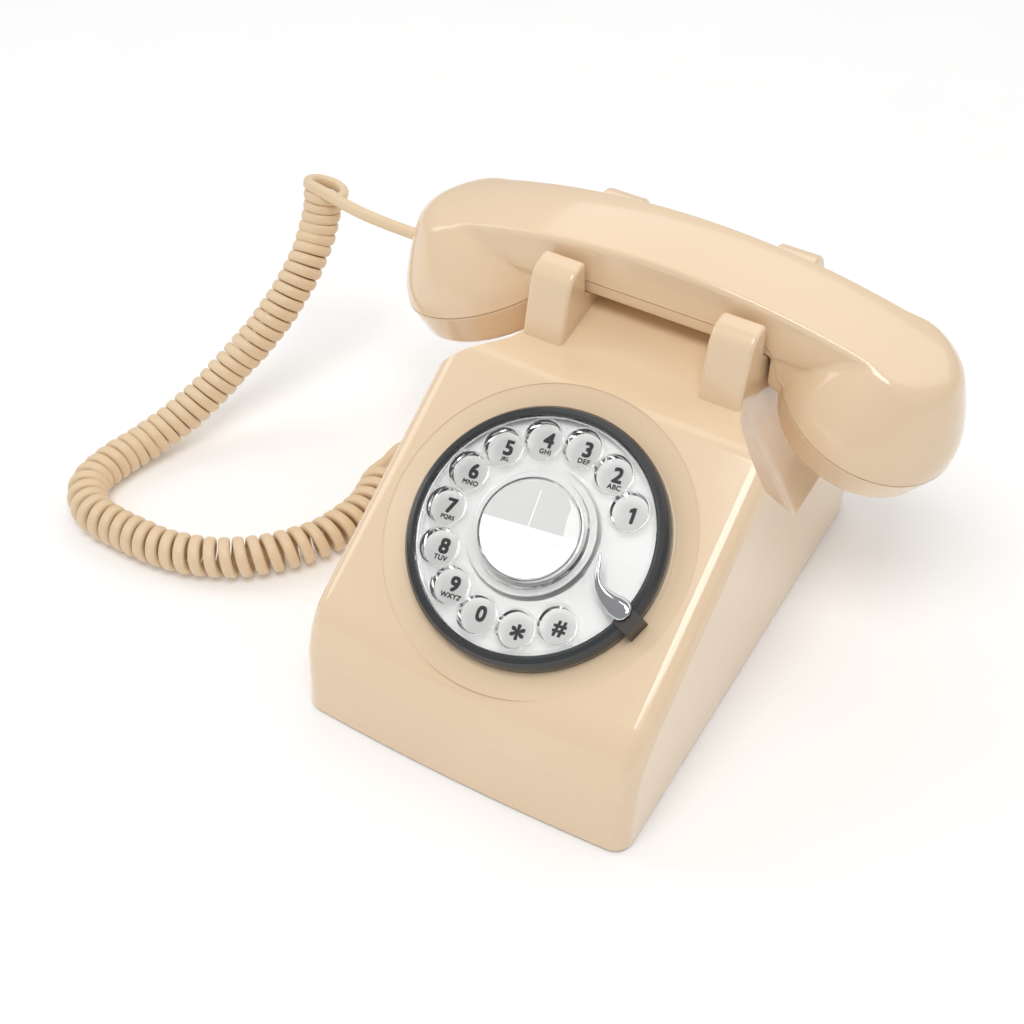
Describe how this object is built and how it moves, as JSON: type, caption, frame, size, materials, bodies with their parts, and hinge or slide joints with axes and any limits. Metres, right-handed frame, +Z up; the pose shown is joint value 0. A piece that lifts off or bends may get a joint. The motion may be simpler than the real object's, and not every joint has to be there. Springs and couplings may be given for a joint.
{
  "type": "rotary telephone",
  "caption": "Desk telephone with a sloping rotary dial, clear finger wheel, lift-off handset in a cradle and a curly handset cord.",
  "frame": {"origin": "on the table under the middle of the telephone, bottom centre of the telephone without its free cord", "axes": "+X along the handset to the earpiece, away from its cord, +Y to the back, +Z up"},
  "size_m": [0.3314, 0.2121, 0.1396],
  "materials": {
    "cream_case": "high gloss moulded",
    "cream_handset": "high gloss moulded",
    "cord_sleeve": "satin extruded",
    "dark_plastic": "satin",
    "brown_black": "satin",
    "clear_plastic": "clear acrylic",
    "plug_clear": "clear",
    "plate_silver": "silver-white print",
    "label_card": "two-tone card",
    "plated": "bright plate",
    "steel": "plain",
    "brass_parts": "turned",
    "inner_plastic": "moulded",
    "base_black": "fine texture",
    "feet_rubber": "soft",
    "board_green": "solder mask",
    "cone_paper": "paper and steel"
  },
  "bodies": {
    "housing": {"case_shell": "cream_case", "base_plate": "base_black", "rubber_feet": "feet_rubber", "base_screws": "steel", "dial_bezel": "dark_plastic", "dial_frame": "steel", "dial_screws": "steel", "number_carrier": "inner_plastic", "number_plate": "plate_silver", "finger_stop": "plated", "finger_stop_block": "brown_black", "dial_bush": "brass_parts", "pulse_contact": "inner_plastic", "return_spring": "steel", "hook_bracket": "steel", "hook_switch": "inner_plastic", "main_board": "board_green", "board_posts": "brass_parts", "loudspeaker": "cone_paper", "ballast_weight": "steel", "line_socket": "base_black", "handset_socket": "base_black", "base_plug": "plug_clear", "base_lead": "cord_sleeve", "coil_cord": "cord_sleeve"},
    "dial": {"finger_wheel": "clear_plastic", "dial_shaft": "steel", "main_gear": "brass_parts", "pulse_cam": "inner_plastic"},
    "centre_button": {"centre_plunger": "clear_plastic", "centre_label": "label_card", "centre_window": "clear_plastic"},
    "governor": {"governor_pinion": "brass_parts", "governor_spindle": "steel", "governor_drum": "brass_parts"},
    "hook": {"hook_plungers": "cream_case", "hook_bar": "inner_plastic"},
    "handset": {"handset_upper": "cream_handset", "handset_lower": "cream_handset", "receiver_capsule": "inner_plastic", "microphone_capsule": "inner_plastic", "handset_weight": "steel", "handset_gland": "cream_handset", "handset_lead": "cord_sleeve"}
  },
  "joints": [
    {"name": "dial_spin", "type": "hinge", "parent": "housing", "child": "dial", "pos_m": [0, -0.0502, 0.0753], "axis": [0, 0.5299, -0.848], "range_deg": [0, 312], "stiffness_Nm_per_rad": 0.006, "springref_deg": -45.84},
    {"name": "button_press", "type": "slide", "parent": "dial", "child": "centre_button", "axis": [0, 0.5299, -0.848], "range_m": [0, 0.0012], "stiffness_N_per_m": 900},
    {"name": "governor_spin", "type": "hinge", "parent": "housing", "child": "governor", "pos_m": [-0.02598, -0.03748, 0.08325], "axis": [0, 0.5299, -0.848], "range_deg": [-1300, 10]},
    {"name": "handset_lift", "type": "slide", "parent": "housing", "child": "handset", "axis": [0, 0, 1], "range_m": [0, 0.06]},
    {"name": "hook_rise", "type": "slide", "parent": "housing", "child": "hook", "axis": [0, 0, 1], "range_m": [0, 0.004]}
  ],
  "couplings": [
    {"joint": "governor_spin", "follows": "dial_spin", "ratio": -4},
    {"joint": "hook_rise", "follows": "handset_lift", "ratio": 0.066667}
  ]
}
